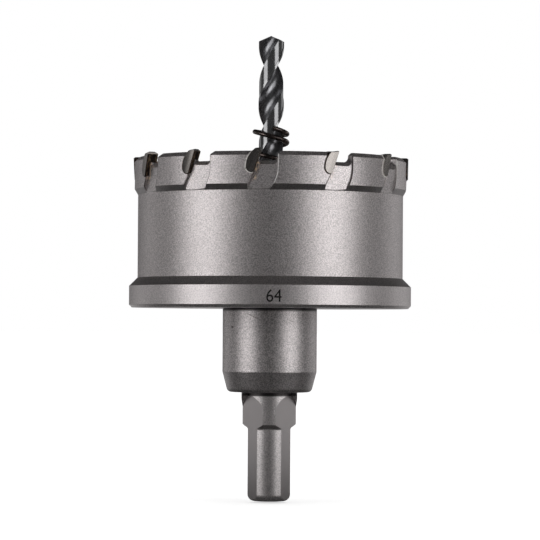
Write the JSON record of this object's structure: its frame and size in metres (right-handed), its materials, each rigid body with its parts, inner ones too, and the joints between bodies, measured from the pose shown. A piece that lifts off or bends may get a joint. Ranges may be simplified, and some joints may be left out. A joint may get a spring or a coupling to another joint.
{
  "type": "hole saw",
  "caption": "Carbide tipped hole saw: cup with brazed teeth, pilot drill, ejector spring and three-flat shank.",
  "frame": {"origin": "middle of the shank's end face", "axes": "+Z along the tool's axis from the shank to the pilot drill's point, -Y towards the picture's viewer"},
  "size_m": [0.0654, 0.0654, 0.1081],
  "materials": {
    "blasted_steel": "bead blasted satin",
    "turned_steel": "turned and blasted satin",
    "drill_steel": "ground bright",
    "spring_wire": "black oiled wire",
    "black_steel": "black oxide",
    "carbide": "ground hard metal"
  },
  "bodies": {
    "root": {"cutter_cup": "blasted_steel", "arbor": "turned_steel", "pilot_drill": "drill_steel", "ejector_spring": "spring_wire", "set_screw": "black_steel", "carbide_tip_01": "carbide", "carbide_tip_02": "carbide", "carbide_tip_03": "carbide", "carbide_tip_04": "carbide", "carbide_tip_05": "carbide", "carbide_tip_06": "carbide", "carbide_tip_07": "carbide", "carbide_tip_08": "carbide", "carbide_tip_09": "carbide", "carbide_tip_10": "carbide", "carbide_tip_11": "carbide", "carbide_tip_12": "carbide"}
  },
  "joints": []
}
